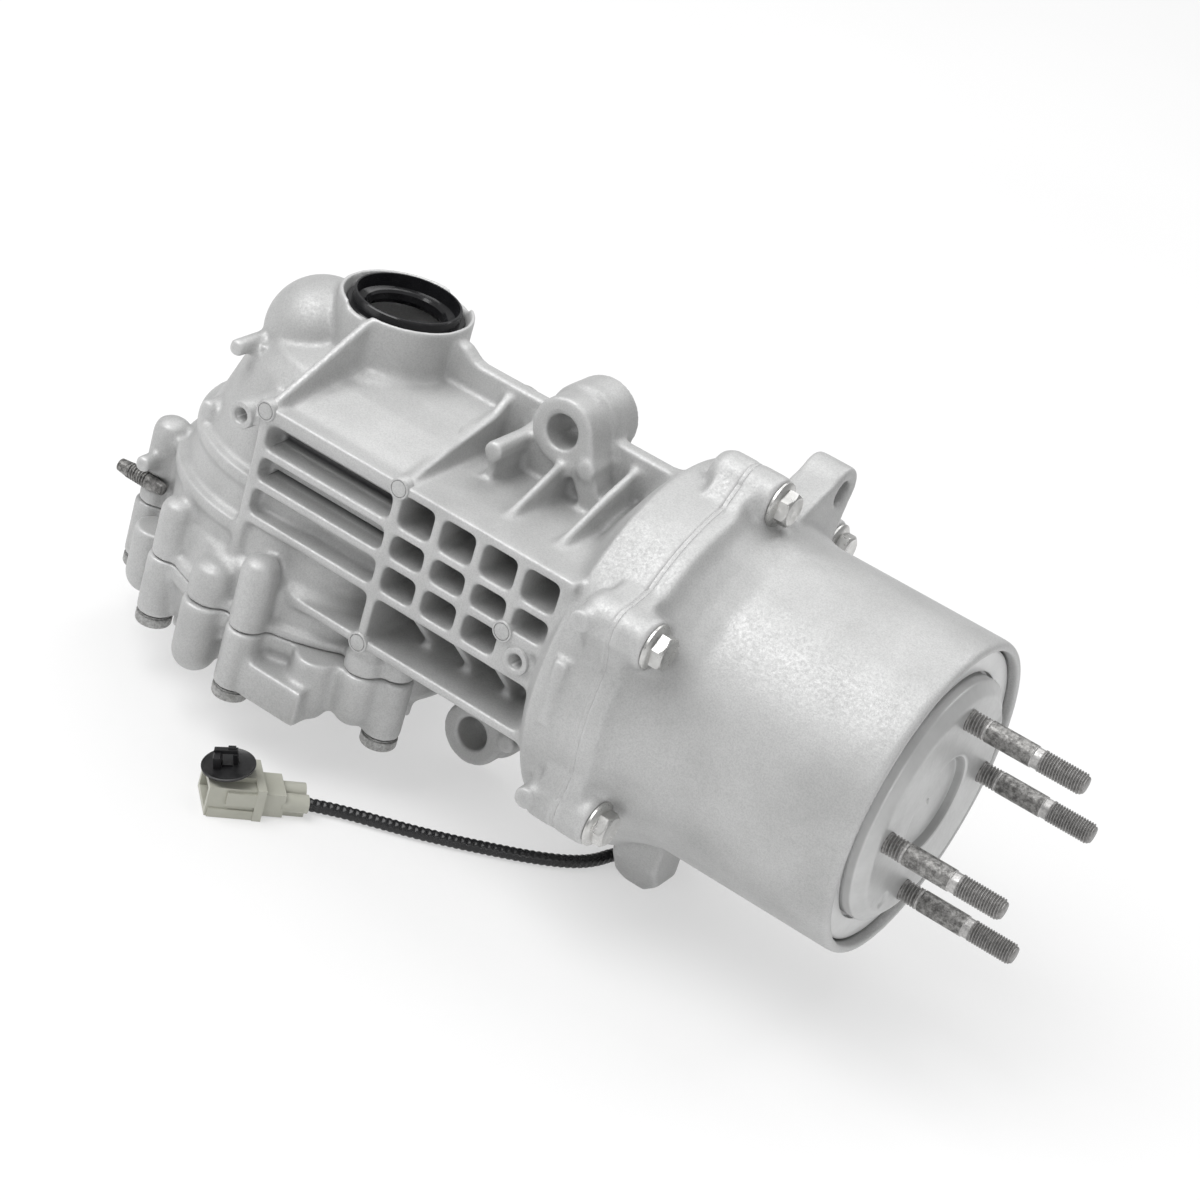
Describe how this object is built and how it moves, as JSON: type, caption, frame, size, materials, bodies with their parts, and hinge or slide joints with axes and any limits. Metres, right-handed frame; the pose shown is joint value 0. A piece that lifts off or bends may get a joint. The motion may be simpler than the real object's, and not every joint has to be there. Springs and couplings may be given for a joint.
{
  "type": "rear differential",
  "caption": "Rear differential with a ribbed cast-aluminium carrier, side cover, bevel gears and an electrically applied clutch in a drum-shaped coupling cover with input studs.",
  "frame": {"origin": "centre of the stud circle on the input flange's mating face", "axes": "+X along the pinion axis, out through the input flange; +Z along the axle axis towards the round tower; +Y away from the ribbed side"},
  "size_m": [0.468, 0.2354, 0.2085],
  "materials": {
    "cast_aluminium": "blasted casting",
    "machined_steel": "turned and ground",
    "gear_steel": "case-hardened",
    "zinc_bolt": "zinc plated",
    "stud_steel": "dark phosphated",
    "flange_steel": "silver paint",
    "black_rubber": "moulded",
    "case_iron": "as cast with machined faces",
    "coil_resin": "potted",
    "friction_steel": "plain steel plates",
    "connector_plastic": "moulded",
    "clip_plastic": "moulded",
    "sleeve_black": "braided sleeve"
  },
  "bodies": {
    "housing": {"carrier_casting": "cast_aluminium", "side_cover": "cast_aluminium", "side_cover_bolts": "zinc_bolt", "coupling_cover": "cast_aluminium", "coupling_cover_bolts": "zinc_bolt", "upper_output_seal": "black_rubber", "lower_output_seal": "black_rubber", "pinion_seal": "black_rubber", "breather_fitting": "stud_steel", "fill_plug": "zinc_bolt", "drain_plug": "zinc_bolt", "pinion_head_bearing_cup": "machined_steel", "pinion_tail_bearing_cup": "machined_steel", "upper_side_bearing_cup": "machined_steel", "lower_side_bearing_cup": "machined_steel", "input_bearing_outer_race": "machined_steel", "input_seal": "black_rubber", "coil_yoke": "machined_steel", "magnet_coil": "coil_resin", "harness_grommet": "black_rubber", "harness_cord": "sleeve_black", "connector_body": "connector_plastic", "connector_clip": "clip_plastic"},
    "input": {"input_flange": "flange_steel", "input_studs": "stud_steel", "dust_deflector": "flange_steel", "coupling_drum": "machined_steel", "drum_rear_cover": "machined_steel", "outer_clutch_plates": "friction_steel", "armature_plate": "friction_steel", "pilot_cam": "machined_steel", "cam_balls": "machined_steel", "input_bearing_inner_race": "machined_steel"},
    "pinion": {"drive_pinion": "gear_steel", "pinion_nut": "zinc_bolt", "crush_spacer": "machined_steel", "pinion_head_bearing_cone": "machined_steel", "pinion_tail_bearing_cone": "machined_steel", "clutch_hub": "machined_steel", "inner_clutch_plates": "friction_steel", "main_cam": "machined_steel"},
    "differential_case": {"diff_case": "case_iron", "ring_gear": "gear_steel", "ring_gear_bolts": "zinc_bolt", "cross_pin": "machined_steel", "cross_pin_lock": "machined_steel", "upper_side_bearing_cone": "machined_steel", "lower_side_bearing_cone": "machined_steel", "thrust_washers": "friction_steel"},
    "upper_side_gear": {"upper_side_gear": "gear_steel"},
    "lower_side_gear": {"lower_side_gear": "gear_steel"},
    "front_spider": {"front_spider_gear": "gear_steel"},
    "rear_spider": {"rear_spider_gear": "gear_steel"}
  },
  "joints": [
    {"name": "input_spin", "type": "hinge", "parent": "housing", "child": "input", "pos_m": [0, 0, 0], "axis": [1, 0, 0], "continuous": true},
    {"name": "differential_spin", "type": "hinge", "parent": "housing", "child": "differential_case", "pos_m": [-0.311, 0, 0], "axis": [0, 0, 1], "continuous": true},
    {"name": "pinion_spin", "type": "hinge", "parent": "housing", "child": "pinion", "pos_m": [-0.311, 0, 0], "axis": [1, 0, 0], "continuous": true},
    {"name": "upper_side_gear_spin", "type": "hinge", "parent": "differential_case", "child": "upper_side_gear", "pos_m": [-0.311, 0, 0.004], "axis": [0, 0, 1], "continuous": true},
    {"name": "lower_side_gear_spin", "type": "hinge", "parent": "differential_case", "child": "lower_side_gear", "pos_m": [-0.311, 0, 0.004], "axis": [0, 0, 1], "continuous": true},
    {"name": "front_spider_spin", "type": "hinge", "parent": "differential_case", "child": "front_spider", "pos_m": [-0.311, 0, 0.004], "axis": [0, 1, 0], "continuous": true},
    {"name": "rear_spider_spin", "type": "hinge", "parent": "differential_case", "child": "rear_spider", "pos_m": [-0.311, 0, 0.004], "axis": [0, 1, 0], "continuous": true}
  ],
  "couplings": [
    {"joint": "pinion_spin", "follows": "differential_spin", "ratio": 2.4667},
    {"joint": "lower_side_gear_spin", "follows": "upper_side_gear_spin", "ratio": -1},
    {"joint": "front_spider_spin", "follows": "upper_side_gear_spin", "ratio": 1.4},
    {"joint": "rear_spider_spin", "follows": "upper_side_gear_spin", "ratio": -1.4}
  ]
}
